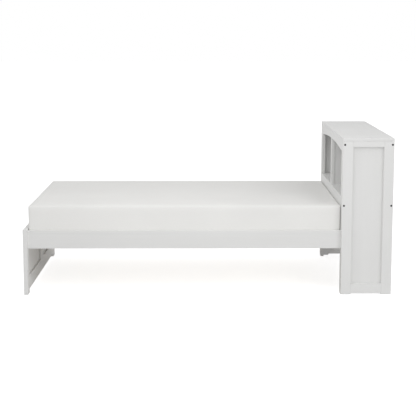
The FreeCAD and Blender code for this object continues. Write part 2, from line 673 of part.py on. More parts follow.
group("shelf_cleats", [
    strip(f"{side_name}_cleat",
          (INSIDE_X, low_edge(side, f"({CASE_HALF} - dims.cleat_side)", "dims.cleat_side"),
           f"({FLOOR_Z} - dims.cleat_side)"),
          (NICHE_DEPTH, "dims.cleat_side", "dims.cleat_side"))
    for side_name, side in SIDES.items()
])


def dowel_places():
    """Middle of each dowel under the top board, in the row frame."""
    posts = {
        "front": f"({CASE_X} + {DOWEL_POST_X['front']})",
        "rear": f"({CASE_X} + dims.case_depth - dims.post_width + {DOWEL_POST_X['rear']})",
    }
    for sign in ("-", ""):
        for x in posts.values():
            yield x, f"{sign}({HALF_WIDTH} - dims.end_thickness / 2)"
        for frame in ("front", "back"):
            yield f"({FRAME_X[frame]} + dims.frame_thickness / 2)", f"{sign}dims.dowel_offset"


def top_board():
    body = new_body("top_board", (CASE_X, f"(-{HALF_WIDTH})", CASE_TOP))
    block = add_block(body, "board", ("0", "0", "0"),
                      ("dims.case_depth", f"(2 * {HALF_WIDTH})", "dims.top_thickness"))
    ease(body, block, lambda first, last: True, "dims.top_ease")
    for number, (x, y) in enumerate(dowel_places(), start=1):
        drill(body, f"dowel_{number}", "Z", (f"({x} - {CASE_X})", f"({y} + {HALF_WIDTH})", "0"),
              DOWEL_HOLE, "dims.dowel_rise")


top_board()
group("top_board_dowels", [
    cylinder(f"dowel_{number}", "Z", (x, y, f"({CASE_TOP} - {DOWEL_FALL})"),
             "dims.dowel_diameter", "dims.dowel_length")
    for number, (x, y) in enumerate(dowel_places(), start=1)
])

# ---------------------------------------------------------------------------------------------
# The bolts that hold the end frames to the front and back frames, and their inserts
# ---------------------------------------------------------------------------------------------


def case_bolt_places():
    """Name, side, and where the head's flat top is, for each of the eight case bolts."""
    faces = {
        "front": f"({CASE_X} + dims.bolt_inset)",
        "rear": f"({CASE_X} + dims.case_depth - dims.bolt_inset)",
    }
    sunk = f"({HALF_WIDTH} - dims.bolt_head_sink + dims.bolt_head_height)"
    for side_name, side in SIDES.items():
        y = sunk if side > 0 else f"(-{sunk})"
        for face, x in faces.items():
            for level, z in (("upper", UPPER_BOLT_Z), ("lower", LOWER_BOLT_Z)):
                yield f"{side_name}_{face}_{level}", side, (x, y, z)


def insert(name, along, place):
    """A threaded insert: a plain sleeve around the end of its bolt."""
    sleeve = doc.addObject("Part::Cut", name)
    sleeve.Base = cylinder(f"{name}_outer", along, place, "dims.insert_diameter",
                           "dims.insert_length")
    sleeve.Tool = cylinder(f"{name}_bore", along, place,
                           "(dims.bolt_diameter + dims.screw_play)", "dims.insert_length")
    return sleeve


CASE_SHANK = "(dims.end_thickness - dims.bolt_head_sink + dims.insert_length)"
case_bolts = []
inserts = []
for name, side, place in case_bolt_places():
    inward = "-Y" if side > 0 else "Y"
    case_bolts.append(bolt(f"case_bolt_{name}", inward, place, CASE_SHANK))
    edge = CASE_HALF if side > 0 else f"(-{CASE_HALF})"
    inserts.append(insert(f"insert_{name}", inward, (place[0], edge, place[2])))
group("case_bolts", case_bolts)
group("threaded_inserts", inserts)

# ---------------------------------------------------------------------------------------------
# The footboard: two posts, two rails, a middle stile and two panels, tongue and groove
# ---------------------------------------------------------------------------------------------

FOOT_GROOVE_X = "dims.foot_recess"


def foot_post(side_name):
    side = SIDES[side_name]
    y = low_edge(side, FOOT_SPAN_HALF, "dims.foot_post_width")
    body = new_body(f"footboard_{side_name}_post", (FOOT_X, y, "0"))
    block = add_block(body, "post", ("0", "0", "0"),
                      ("dims.foot_thickness", "dims.foot_post_width", "dims.foot_height"))
    ease(body, block, lambda first, last: True)
    groove_y = from_inside(side, "dims.foot_post_width", "0", "dims.groove_depth")
    cut_block(body, "groove", (FOOT_GROOVE_X, groove_y, "dims.foot_lower_lift"),
              ("dims.panel_thickness", "dims.groove_depth",
               f"(dims.foot_height - dims.foot_lower_lift - {SHOULDER})"))
    bolt_y = from_outside(side, "dims.foot_post_width", f"({HALF_WIDTH} - {RAIL_MIDDLE})", "0")
    for number, z in enumerate(RAIL_BOLT_HEIGHTS, start=1):
        place = ("0", bolt_y, f"(dims.rail_bottom + {z})")
        drill(body, f"bolt_{number}", "X", place, BOLT_HOLE, "dims.foot_thickness")
        drill(body, f"sink_{number}", "X", place, HEAD_HOLE, "dims.bolt_head_sink")


def foot_rail(name, z, height):
    upper = name == "top"
    length = f"(2 * {FOOT_SPAN_HALF})"
    body = board(f"footboard_{name}_rail", (FOOT_X, f"(-{FOOT_SPAN_HALF})", z),
                 ("dims.foot_thickness", length, height), "y")
    tongue_height = f"({height} - {SHOULDER})" if upper else height
    add_block(body, "tongues", (FOOT_GROOVE_X, "-dims.groove_depth", "0"),
              ("dims.panel_thickness", f"({length} + 2 * dims.groove_depth)", tongue_height))
    groove_z = "0" if upper else f"({height} - dims.groove_depth)"
    cut_block(body, "groove", (FOOT_GROOVE_X, "-dims.groove_depth", groove_z),
              ("dims.panel_thickness", f"({length} + 2 * dims.groove_depth)", "dims.groove_depth"))


def foot_stile():
    half = "(dims.foot_stile_width / 2)"
    body = board("footboard_centre_stile", (FOOT_X, f"(-{half})", FOOT_OPENING_Z),
                 ("dims.foot_thickness", "dims.foot_stile_width",
                  f"({FOOT_UPPER_Z} - {FOOT_OPENING_Z})"), "z")
    reach = "dims.groove_depth"
    add_block(body, "tongues", (FOOT_GROOVE_X, reach, f"-{reach}"),
              ("dims.panel_thickness", f"(dims.foot_stile_width - 2 * {reach})",
               f"({FOOT_UPPER_Z} - {FOOT_OPENING_Z} + 2 * {reach})"))
    for name, y in (("left", "0"), ("right", f"(dims.foot_stile_width - {reach})")):
        cut_block(body, f"{name}_groove", (FOOT_GROOVE_X, y, "0"),
                  ("dims.panel_thickness", reach, f"({FOOT_UPPER_Z} - {FOOT_OPENING_Z})"))


def foot_panel(side_name):
    side = SIDES[side_name]
    reach = "(dims.groove_depth - dims.panel_gap)"
    inner = f"(dims.foot_stile_width / 2 - {reach})"
    width = f"({FOOT_SPAN_HALF} + {reach} - {inner})"
    sheet_panel(f"footboard_{side_name}_panel",
                (f"({FOOT_X} + {FOOT_GROOVE_X})", low_edge(side, inner, width),
                 f"({FOOT_OPENING_Z} - {reach})"),
                ("dims.panel_thickness", width, f"({FOOT_UPPER_Z} - {FOOT_OPENING_Z} + 2 * {reach})"))


for side_name in SIDES:
    foot_post(side_name)
    foot_panel(side_name)
foot_rail("bottom", "dims.foot_lower_lift", "dims.foot_lower_height")
foot_rail("top", FOOT_UPPER_Z, "dims.foot_upper_height")
foot_stile()

# ---------------------------------------------------------------------------------------------
# The side rails with their bolts and barrel nuts, the ledgers, and the slats
# ---------------------------------------------------------------------------------------------

BORE_DEPTH = "(dims.barrel_setback + dims.bolt_overrun + dims.bolt_play)"
BARREL_HOLE = "(dims.barrel_diameter + dims.dowel_play)"
BARREL_DEPTH = "(dims.rail_thickness / 2 + dims.barrel_length / 2)"
LEDGER_START = "dims.ledger_end_gap"
LEDGER_MIDDLE = f"({INNER_HALF} - dims.ledger_depth / 2)"
RAIL_SCREW_COUNT = "(floor(dims.slat_count / 2))"
RAIL_SCREW_X = f"({FIRST_SLAT} + dims.slat_pitch / 2)"


def side_rail(side_name):
    side = SIDES[side_name]
    y = low_edge(side, INNER_HALF, "dims.rail_thickness")
    body = board(f"{side_name}_side_rail", (RAIL_X, y, "dims.rail_bottom"),
                 (RAIL_LENGTH, "dims.rail_thickness", "dims.rail_height"), "x")
    middle = "(dims.rail_thickness / 2)"
    ends = {
        "foot": ("0", "dims.barrel_setback"),
        "head": (f"({RAIL_LENGTH} - {BORE_DEPTH})", f"({RAIL_LENGTH} - dims.barrel_setback)"),
    }
    barrel_y = from_inside(side, "dims.rail_thickness", "0", BARREL_DEPTH)
    for end, (bore_x, barrel_x) in ends.items():
        for number, z in enumerate(RAIL_BOLT_HEIGHTS, start=1):
            drill(body, f"{end}_bore_{number}", "X", (bore_x, middle, z), BOLT_HOLE, BORE_DEPTH)
            drill(body, f"{end}_barrel_{number}", "Y", (barrel_x, barrel_y, z), BARREL_HOLE,
                  BARREL_DEPTH)
    depth = "(dims.ledger_screw_length - dims.ledger_depth)"
    screw_y = from_inside(side, "dims.rail_thickness", "0", depth)
    pilot = drill(body, "pilot", "Y",
                  (RAIL_SCREW_X, screw_y, "(dims.ledger_lift + dims.ledger_height / 2)"), PILOT, depth)
    repeat(body, "pilots", pilot, "2 * dims.slat_pitch", RAIL_SCREW_COUNT)


def ledger(side_name):
    side = SIDES[side_name]
    inner = f"({INNER_HALF} - dims.ledger_depth)"
    length = f"({RAIL_LENGTH} - 2 * {LEDGER_START})"
    body = board(f"{side_name}_slat_ledger",
                 (f"({RAIL_X} + {LEDGER_START})", low_edge(side, inner, "dims.ledger_depth"),
                  LEDGER_Z), (length, "dims.ledger_depth", "dims.ledger_height"), "x")
    screw_x = f"({RAIL_SCREW_X} - {LEDGER_START})"
    hole = drill(body, "rail_screw", "Y", (screw_x, "0", "(dims.ledger_height / 2)"), PILOT,
                 "dims.ledger_depth")
    repeat(body, "rail_screws", hole, "2 * dims.slat_pitch", RAIL_SCREW_COUNT)
    sink = "dims.screw_head_height"
    sink_y = from_inside(side, "dims.ledger_depth", "0", sink)
    mouth = drill(body, "rail_sink", "Y", (screw_x, sink_y, "(dims.ledger_height / 2)"),
                  SCREW_HEAD_HOLE, sink)
    repeat(body, "rail_sinks", mouth, "2 * dims.slat_pitch", RAIL_SCREW_COUNT)
    depth = "(dims.slat_screw_length - dims.slat_thickness)"
    pilot = drill(body, "slat_pilot", "Z",
                  (f"({FIRST_SLAT} - {LEDGER_START})", "(dims.ledger_depth / 2)",
                   f"(dims.ledger_height - {depth})"), PILOT, depth)
    repeat(body, "slat_pilots", pilot, "dims.slat_pitch", "dims.slat_count")


def slat_middle(number):
    """Middle of one slat along the bed, from the foot end of the side rails."""
    return f"({FIRST_SLAT} + {number - 1} * dims.slat_pitch)"


def slat(number):
    half = f"({INNER_HALF} - dims.slat_side_gap)"
    body = board(f"slat_{number:02d}",
                 (f"({RAIL_X} + {slat_middle(number)} - dims.slat_width / 2)", f"(-{half})", SLAT_Z),
                 ("dims.slat_width", f"(2 * {half})", "dims.slat_thickness"), "y")
    for side_name, sign in (("left", "-"), ("right", "+")):
        place = ("(dims.slat_width / 2)", f"({half} {sign} {LEDGER_MIDDLE})", "0")
        drill(body, f"{side_name}_screw", "Z", place, PILOT, "dims.slat_thickness")
        mouth = (place[0], place[1], "(dims.slat_thickness - dims.screw_head_height)")
        drill(body, f"{side_name}_sink", "Z", mouth, SCREW_HEAD_HOLE, "dims.screw_head_height")


SLATS = range(1, int(sheet.slat_count) + 1)
for side_name in SIDES:
    side_rail(side_name)
    ledger(side_name)
for number in SLATS:
    slat(number)


def ledger_screw(side_name, number):
    side = SIDES[side_name]
    face = f"({INNER_HALF} - dims.ledger_depth)"
    y = face if side > 0 else f"(-{face})"
    x = f"({RAIL_X} + {RAIL_SCREW_X} + {number} * 2 * dims.slat_pitch)"
    z = f"({LEDGER_Z} + dims.ledger_height / 2)"
    return screw(f"ledger_screw_{side_name}_{number}", "Y" if side > 0 else "-Y", (x, y, z),
                 "dims.ledger_screw_length")


def slat_screw(side_name, number):
    y = LEDGER_MIDDLE if SIDES[side_name] > 0 else f"(-{LEDGER_MIDDLE})"
    return screw(f"slat_screw_{side_name}_{number}", "-Z",
                 (f"({RAIL_X} + {slat_middle(number)})", y, f"({SLAT_Z} + dims.slat_thickness)"),
                 "dims.slat_screw_length")


RAIL_SCREWS = range(int(sheet.slat_count) // 2)
group("ledger_screws", [ledger_screw(name, number) for name in SIDES for number in RAIL_SCREWS])
group("slat_screws", [slat_screw(name, number) for name in SIDES for number in SLATS])


def barrel_nut(name, place):
    """A barrel nut lies across the rail, and its bolt runs through its middle."""
    start = shifted(place, "-Y", "dims.barrel_length / 2")
    made = doc.addObject("Part::Cut", name)
    made.Base = cylinder(f"{name}_barrel", "Y", start, "dims.barrel_diameter", "dims.barrel_length")
    made.Tool = cylinder(f"{name}_thread", "X", shifted(place, "-X", "dims.barrel_diameter"),
                         "(dims.bolt_diameter + dims.screw_play)", "2 * dims.barrel_diameter")
    return made


rail_bolts = []
barrel_nuts = []
GRIP = "(dims.barrel_setback + dims.bolt_overrun)"
for side_name, side in SIDES.items():
    y = RAIL_MIDDLE if side > 0 else f"(-{RAIL_MIDDLE})"
    for number, height in enumerate(RAIL_BOLT_HEIGHTS, start=1):
        z = f"(dims.rail_bottom + {height})"
        foot_place = (f"({FOOT_X} + dims.bolt_head_sink - dims.bolt_head_height)", y, z)
        rail_bolts.append(bolt(f"foot_bolt_{side_name}_{number}", "X", foot_place,
                               f"(dims.foot_thickness - dims.bolt_head_sink + {GRIP})"))
        head_place = (f"({INSIDE_X} + dims.bolt_head_height)", y, z)
        rail_bolts.append(bolt(f"head_bolt_{side_name}_{number}", "-X", head_place,
                               f"(dims.frame_thickness + {GRIP})"))
        for end, x in (("foot", f"({RAIL_X} + dims.barrel_setback)"),
                       ("head", f"({CASE_X} - dims.barrel_setback)")):
            barrel_nuts.append(barrel_nut(f"barrel_{end}_{side_name}_{number}", (x, y, z)))
group("rail_bolts", rail_bolts)
group("barrel_nuts", barrel_nuts)

# ---------------------------------------------------------------------------------------------
# The mattress: rolled edges, sides that draw in at half height, and a crowned top
# ---------------------------------------------------------------------------------------------


def mattress_section(inset, z):
    """One level of the mattress: a rectangle with round corners, set in from the full outline."""
    half_x = sheet.mattress_length / 2 - inset
    half_y = sheet.mattress_width / 2 - inset
    least = 4.0
    radius = max(sheet.mattress_corner - inset, least)
    edges = []
    centres = [(half_x - radius, half_y - radius), (radius - half_x, half_y - radius),
               (radius - half_x, radius - half_y), (half_x - radius, radius - half_y)]
    arcs = []
    for index, (x, y) in enumerate(centres):
        points = []
        for share in (0, 0.5, 1):
            angle = math.pi / 2 * (index + share)
            points.append(FreeCAD.Vector(x + radius * math.cos(angle), y + radius * math.sin(angle), z))
        arcs.append(Part.Arc(*points))
    for index, arc in enumerate(arcs):
        edges.append(arc.toShape())
        edges.append(Part.makeLine(arc.EndPoint, arcs[(index + 1) % 4].StartPoint))
    return Part.Wire(edges)


def mattress_levels():
    """Inset and height of each level, from the bottom up."""
    shoulder = sheet.mattress_height - sheet.mattress_crown
    quarters = [math.pi / 2 * step / 4 for step in range(5)]
    for angle in quarters:
        yield (sheet.mattress_foot_roll * (1 - math.sin(angle)),
               sheet.mattress_foot_roll * (1 - math.cos(angle)))
    yield sheet.mattress_draw, (sheet.mattress_foot_roll + shoulder - sheet.mattress_roll) / 2
    for angle in quarters:
        yield (sheet.mattress_roll * (1 - math.cos(angle)),
               shoulder - sheet.mattress_roll * (1 - math.sin(angle)))
    ridge = 20.0
    reach = sheet.mattress_width / 2 - ridge - sheet.mattress_roll
    for share in (0.2, 0.4, 0.7, 1.0):
        yield (sheet.mattress_roll + share * reach,
               shoulder + sheet.mattress_crown * (1 - (1 - share) ** 2))


def mattress():
    solid = Part.makeLoft([mattress_section(*level) for level in mattress_levels()], True, True)
    made = doc.addObject("Part::Feature", "mattress")
    made.Label = "mattress"
    made.Shape = solid
    bind(made, "Placement.Base", (f"({RAIL_X} + {RAIL_LENGTH} / 2)", "0",
                                  f"({SLAT_Z} + dims.slat_thickness + dims.soft_clearance)"))
    PIECES.append(made)


mattress()

# ---------------------------------------------------------------------------------------------
# Recompute, test and write
# ---------------------------------------------------------------------------------------------

doc.recompute()
for thing in doc.Objects:
    if "Invalid" in thing.State or "Error" in thing.State:
        raise RuntimeError(f"{thing.Name} failed: {thing.State}")
for thing in doc.Objects:
    if thing.TypeId == "PartDesign::Pocket":
        before = thing.BaseFeature.Shape.Volume
        if thing.Shape.Volume > before - 1.0:
            raise RuntimeError(f"{thing.Name} cuts nothing")
for piece in PIECES:
    if piece.Shape.isNull() or not piece.Shape.isValid() or not piece.Shape.Solids:
        raise RuntimeError(f"{piece.Label} has no valid solid")

os.makedirs("parts", exist_ok=True)
for piece in PIECES:
    piece.Shape.exportStep(f"parts/{piece.Label}.step")
print(len(PIECES), "pieces")
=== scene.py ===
import math

import bmesh
import bpy
import numpy as np
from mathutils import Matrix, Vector


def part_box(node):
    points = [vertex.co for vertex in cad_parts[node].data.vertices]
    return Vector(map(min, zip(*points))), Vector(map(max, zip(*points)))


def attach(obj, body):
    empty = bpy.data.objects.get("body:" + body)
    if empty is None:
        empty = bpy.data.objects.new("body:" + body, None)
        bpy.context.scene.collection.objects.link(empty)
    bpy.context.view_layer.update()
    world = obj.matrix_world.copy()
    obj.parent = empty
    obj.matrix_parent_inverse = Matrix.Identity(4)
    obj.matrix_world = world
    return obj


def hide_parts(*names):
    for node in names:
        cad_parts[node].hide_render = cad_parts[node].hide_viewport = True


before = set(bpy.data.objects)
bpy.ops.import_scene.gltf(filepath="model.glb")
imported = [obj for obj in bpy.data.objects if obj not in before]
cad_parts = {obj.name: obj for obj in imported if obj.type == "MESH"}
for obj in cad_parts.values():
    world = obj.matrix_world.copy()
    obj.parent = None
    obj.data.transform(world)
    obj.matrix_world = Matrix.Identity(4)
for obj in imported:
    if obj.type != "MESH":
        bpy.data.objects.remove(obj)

bl_info = {
    "name": "Bookcase Headboard Bed",
    "version": (1, 0, 0),
    "blender": (4, 5, 0),
    "location": "3D View > Sidebar > Bed",
    "description": "Dresses a white painted bed with a bookcase headboard and a mattress",
    "category": "Object",
}

MM = 0.001
WHITE = (1.0, 1.0, 1.0, 1.0)
EVEN = (1.0, 1.0, 1.0)

# The mattress's grid: points over a rolled edge, along its length, across it and up its side
ROLL_STEPS, LENGTH_STEPS, WIDTH_STEPS, SIDE_STEPS = 3, 96, 50, 12
# How much longer than the model each end of the mattress is, to come close to the posts
END_FULLNESS = 1.4 * MM
# How much lower than the model its top starts, before it is filled
TOP_ROOM = 2.5 * MM
# Air between the mattress and the slats
SLAT_GAP = 0.25 * MM
# Points closer than this are one
WELD = 0.02 * MM
# Size of the slow waves in the filling, and the seed of each
WAVE_SIZE = 0.5
WAVE_SEEDS = (1.0, 2.2, 3.1, 4.7)

# The floor: half its side, its depth below the feet, its shade, and its glow for the camera
FLOOR_HALF, FLOOR_DROP, FLOOR_SHADE, FLOOR_GLOW = 40.0, 0.2 * MM, 0.85, 0.72
# The height that the lamps face, over the middle of the bed
LAMP_AIM = 0.4

# The camera: place, tilt and turn in degrees, lens and sensor in millimetres, and shift
CAMERA_PLACE = (-0.0290, -6.3991, 1.6228)
CAMERA_TILT, CAMERA_TURN = -8.048, -0.308
LENS, SENSOR, SHIFT = 85.03, 36.0, -0.1
FAR_CLIP = 200.0

# The boards of each part of the bed, by the name of the model's nodes
END_FRAMES = [
    f"{side}_{piece}"
    for side in ("left", "right")
    for piece in ("front_post", "rear_post", "end_top_rail", "end_bottom_rail", "end_panel")
]
FACE_FRAME = [
    "front_left_stile", "front_right_stile", "front_arched_rail", "front_mullion",
    "front_middle_rail", "front_lower_panel", "front_bottom_rail",
]
BACK_FRAME = [
    "back_left_stile", "back_right_stile", "back_top_rail", "back_upper_panel",
    "back_middle_rail", "back_lower_panel", "back_bottom_rail",
]
SHELVES = ["niche_floor", "niche_divider", "shelf_cleats", "top_board"]
FOOTBOARD = [
    "footboard_left_post", "footboard_right_post", "footboard_left_panel",
    "footboard_right_panel", "footboard_bottom_rail", "footboard_top_rail",
    "footboard_centre_stile",
]
SIDE_RAILS = ["left_side_rail", "right_side_rail"]
LEDGERS = ["left_slat_ledger", "right_slat_ledger"]
SLATS = sorted(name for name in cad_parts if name.startswith("slat_") and name[5:].isdigit())
DARK_STEEL = ["case_bolts", "rail_bolts"]
PLATED_STEEL = ["ledger_screws", "slat_screws", "barrel_nuts"]
CLEATS = "shelf_cleats"


# ---------------------------------------------------------------------------------------------
# Shader maths
# ---------------------------------------------------------------------------------------------

class Signal:
    """One output of a shader node, which can be used in sums and products like a number."""

    def __init__(self, finish, socket):
        self.finish = finish
        self.socket = socket

    def maths(self, operation, *others):
        return self.finish.node("ShaderNodeMath", {"operation": operation}, [self, *others])

    def __add__(self, other):
        return self.maths("ADD", other)

    __radd__ = __add__

    def __sub__(self, other):
        return self.maths("SUBTRACT", other)

    def __rsub__(self, other):
        return self.finish.node("ShaderNodeMath", {"operation": "SUBTRACT"}, [other, self])

    def __mul__(self, other):
        return self.maths("MULTIPLY", other)

    __rmul__ = __mul__

    def __pow__(self, other):
        return self.maths("POWER", other)

    def absolute(self):
        return self.maths("ABSOLUTE")

    def sine(self):
        return self.maths("SINE")

    def lower(self, other):
        return self.maths("MINIMUM", other)

    def higher(self, other):
        return self.maths("MAXIMUM", other)

    def rising(self, start, end):
        """0 up to start, 1 from end, and smooth between them."""
        settings = {"interpolation_type": "SMOOTHSTEP"}
        inputs = {"Value": self, "From Min": start, "From Max": end}
        return self.finish.node("ShaderNodeMapRange", settings, inputs)


class Finish:
    """The nodes of a material or of the sky: one method adds a node, the rest are built on it."""

    def __init__(self, owner):
        self.owner = owner
        owner.use_nodes = True
        self.tree = owner.node_tree
        self.tree.nodes.clear()

    def node(self, kind, settings=None, inputs=None, output=0):
        """Add a node: its settings first, then the values or links of its sockets."""
        made = self.tree.nodes.new(kind)
        for key, value in (settings or {}).items():
            setattr(made, key, value)
        pairs = inputs.items() if isinstance(inputs, dict) else enumerate(inputs or [])
        for key, value in pairs:
            if isinstance(value, Signal):
                self.tree.links.new(value.socket, made.inputs[key])
            else:
                made.inputs[key].default_value = value
        return Signal(self, made.outputs[output])

    def place(self):
        """The place on the object, in metres along its own axes."""
        return self.node("ShaderNodeTexCoord", output="Object")

    def stretched(self, scale, shift=(0.0, 0.0, 0.0)):
        """The place on the object, in its own axes, times a scale for each axis."""
        return self.node("ShaderNodeMapping", {}, {"Vector": self.place(), "Scale": scale,
                                                   "Location": shift})

    def noise(self, place, scale, detail=2.0, roughness=0.5, warp=0.0):
        return self.node("ShaderNodeTexNoise", {}, {
            "Vector": place, "Scale": scale, "Detail": detail, "Roughness": roughness,
            "Distortion": warp,
        })

    def split(self, place):
        axes = self.node("ShaderNodeSeparateXYZ", {}, [place])
        node = axes.socket.node
        return [Signal(self, node.outputs[index]) for index in range(3)]

    def blend(self, amount, first, second):
        """Mix two colours by an amount from 0 to 1."""
        return self.node("ShaderNodeMix", {"data_type": "RGBA"},
                         {0: amount, 6: first, 7: second}, output=2)

    def relief(self, height, distance):
        """Raise the surface by a height from 0 to 1, times a distance in metres."""
        return self.node("ShaderNodeBump", {}, {"Strength": 1.0, "Distance": distance,
                                                "Height": height})

    def coat(self, **sockets):
        """Finish with one Principled shader: socket names have underscores for spaces."""
        inputs = {name.replace("_", " "): value for name, value in sockets.items()}
        return self.end(self.node("ShaderNodeBsdfPrincipled", {}, inputs))

    def end(self, surface, kind="ShaderNodeOutputMaterial"):
        """Send the surface to the output node, and return the material or sky."""
        out = self.tree.nodes.new(kind)
        self.tree.links.new(surface.socket, out.inputs["Surface"])
        return self.owner


def new_finish(name):
    return Finish(bpy.data.materials.new(name))


def rgba(colour, factor=1.0):
    return (*(channel * factor for channel in colour), 1.0)


def put_on(node, material):
    """Give a node of the model its finish."""
    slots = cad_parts[node].data.materials
    slots.clear()
    slots.append(material)


def node_box(node):
    low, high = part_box(node)
    return np.array(low), np.array(high)


def along_grain(node):
    """The axis that a board's grain follows: its longest side, and the depth for the cleats."""
    low, high = node_box(node)
    return 0 if node == CLEATS else int(np.argmax(high - low))


def grain_scale(axis, across, along):
    """Noise scale for each axis: fine across the grain and drawn out along it."""
    return tuple(along if index == axis else across for index in range(3))


def seed_of(node):
    """A shift that gives each board its own piece of the pattern."""
    total = sum((index + 3) * ord(letter) for index, letter in enumerate(node))
    return tuple((total * step % 97) / 9.7 for step in (1.0, 1.7, 2.3))


# ---------------------------------------------------------------------------------------------
# Finishes
# ---------------------------------------------------------------------------------------------

def arris(finish, low, high):
    """How near a point on a board is to an edge, in metres: the middle one of its distances to
    the pairs of faces across the three axes."""
    gaps = []
    for value, least, most in zip(finish.split(finish.place()), low, high):
        gaps.append((value - float(least)).lower(float(most) - value).absolute())
    first, second, third = gaps
    return first.lower(second).higher(first.higher(second).lower(third))


def satin_paint(node, settings):
    """White satin paint on a board: drawn-out grain that telegraphs through it, a fine roller
    stipple, slow drift in its tone, and edges where the paint is thin and rubbed."""
    finish = new_finish(f"satin_paint_{node}")
    axis = along_grain(node)
    low, high = node_box(node)
    seed = seed_of(node)
    fibres = finish.noise(finish.stretched(grain_scale(axis, 340.0, 7.0), seed), 1.0, 3.0, 0.6)
    figure = finish.noise(finish.stretched(grain_scale(axis, 28.0, 1.6), seed), 1.0, 2.0, 0.5, 0.6)
    stipple = finish.noise(finish.stretched(EVEN, seed), 1300.0, 1.0, 0.4)
    drift = finish.noise(finish.stretched(EVEN, seed), 2.6, 2.0, 0.5)
    edge = 1.0 - arris(finish, low, high).rising(0.0, settings.edge_width)
    rubs = finish.noise(finish.stretched(grain_scale(axis, 60.0, 18.0), seed), 1.0, 3.0, 0.65)
    worn = edge * rubs.rising(0.5, 0.75) * settings.edge_wear
    tone = drift * 0.5 + figure * 0.3 + fibres * 0.2
    paint = settings.colour
    warm = (0.975, 0.965, 0.945)
    shaded = rgba([channel * step for channel, step in zip(paint, (0.965, 0.965, 0.962))])
    body = finish.blend(tone.rising(0.3, 0.7), shaded, rgba(paint))
    thin = rgba([channel * step for channel, step in zip(paint, warm)], 0.93)
    colour = finish.blend(worn, body, thin)
    gloss = settings.roughness + (drift - 0.5) * 0.10 + (fibres - 0.5) * 0.06 - worn * 0.08
    height = fibres * 0.55 + figure * 0.2 + stipple * 0.25
    return finish.coat(Base_Color=colour, Roughness=gloss,
                       Normal=finish.relief(height, settings.grain_depth),
                       Specular_IOR_Level=0.18)


def bare_wood(node, settings):
    """Planed softwood: growth rings cut along the board, fine fibres, a few dark flecks and
    edges that are slightly darker from handling."""
    finish = new_finish(f"bare_wood_{node}")
    axis = along_grain(node)
    low, high = node_box(node)
    seed = seed_of(node)
    wander = finish.noise(finish.stretched(grain_scale(axis, 6.0, 0.7), seed), 1.0, 2.0, 0.5, 0.4)
    across = finish.split(finish.stretched(grain_scale(axis, 1.0, 0.03), seed))
    ring_axes = [across[index] for index in range(3) if index != axis]
    depth = (ring_axes[0] + ring_axes[1] * 0.55) * settings.rings
    rings = (depth + wander * 9.0).sine() * 0.5 + 0.5
    late = rings ** 3.0
    fibres = finish.noise(finish.stretched(grain_scale(axis, 900.0, 14.0), seed), 1.0, 3.0, 0.65)
    flecks = finish.noise(finish.stretched(grain_scale(axis, 260.0, 22.0), seed), 1.0, 1.0, 0.5)
    fleck = flecks.rising(0.68, 0.76)
    edge = 1.0 - arris(finish, low, high).rising(0.0, 0.006)
    early_wood = finish.blend(fibres, rgba(settings.colour, 0.93), rgba(settings.colour, 1.05))
    grown = finish.blend(late * 0.75, early_wood, rgba(settings.ring_colour))
    colour = finish.blend(fleck * 0.5 + edge * 0.12, grown, rgba(settings.ring_colour, 0.6))
    height = fibres * 0.5 + late * 0.5
    return finish.coat(Base_Color=colour, Roughness=0.62 + fibres * 0.15,
                       Normal=finish.relief(height, 0.0002), Specular_IOR_Level=0.3)


def metal(name, colour, roughness, metallic, mottle):
    """Steel or brass with tumbled scratches and a mottled coating."""
    finish = new_finish(name)
    cloud = finish.noise(finish.stretched(EVEN), 420.0, 3.0, 0.6)
    scratch = finish.noise(finish.stretched((2600.0, 300.0, 900.0)), 1.0, 2.0, 0.6, 0.5)
    tint = finish.blend(cloud.rising(0.35, 0.65), rgba(colour, 1.0 - mottle), rgba(colour))
    gloss = roughness + (cloud - 0.5) * 0.18 + (scratch - 0.5) * 0.12
    return finish.coat(Base_Color=tint, Roughness=gloss, Metallic=metallic,
                       Normal=finish.relief(cloud * 0.4 + scratch * 0.6, 0.00006))


def ticking(settings):
    """Knitted mattress cover: rows of small loops on every face, along the object's own axes,
    with slubs in the yarn and a soft drift in its tone."""
    finish = new_finish("ticking")
    pitch = settings.loop_pitch
    turn = 2.0 * math.pi / pitch
    bent = finish.noise(finish.stretched(EVEN), 90.0, 2.0, 0.5)
    x, y, z = finish.split(finish.place())
    sway = (bent - 0.5) * 1.6
    loops = ((x * turn + sway).sine() * (y * turn - sway).sine()
             + (y * turn + sway).sine() * (z * turn).sine()
             + (z * turn).sine() * (x * turn - sway).sine())
    knit = loops * 0.25 + 0.5
    slubs = finish.noise(finish.stretched((60.0, 420.0, 420.0)), 1.0, 3.0, 0.6)
    drift = finish.noise(finish.stretched(EVEN), 3.1, 2.0, 0.5)
    lofty = finish.noise(finish.stretched(EVEN), 34.0, 2.0, 0.5)
    cloth = settings.colour
    tone = knit * 0.35 + slubs * 0.25 + drift * 0.4
    colour = finish.blend(tone.rising(0.25, 0.75), rgba(cloth, 0.94), rgba(cloth))
    height = knit * 0.55 + slubs * 0.2 + lofty * 0.25
    return finish.coat(Base_Color=colour, Roughness=0.86 + (slubs - 0.5) * 0.1,
                       Normal=finish.relief(height, settings.loop_depth),
                       Sheen_Weight=0.12, Sheen_Roughness=0.6, Specular_IOR_Level=0.2)


# ---------------------------------------------------------------------------------------------
# Surfaces
# ---------------------------------------------------------------------------------------------

def steps(extent, roll, fine, coarse):
    """Positions across the mattress from edge to edge: close together over the rolled edge, where
    they follow the roll's arc, and evenly spaced between the rolls."""
    angle = np.linspace(0.0, np.pi / 2, fine + 1)
    rolled = roll * (1.0 - np.cos(angle))
    middle = np.linspace(roll, 2.0 * extent - roll, coarse + 1)
    return np.concatenate([rolled[:-1], middle, (2.0 * extent - rolled[:-1])[::-1]]) - extent


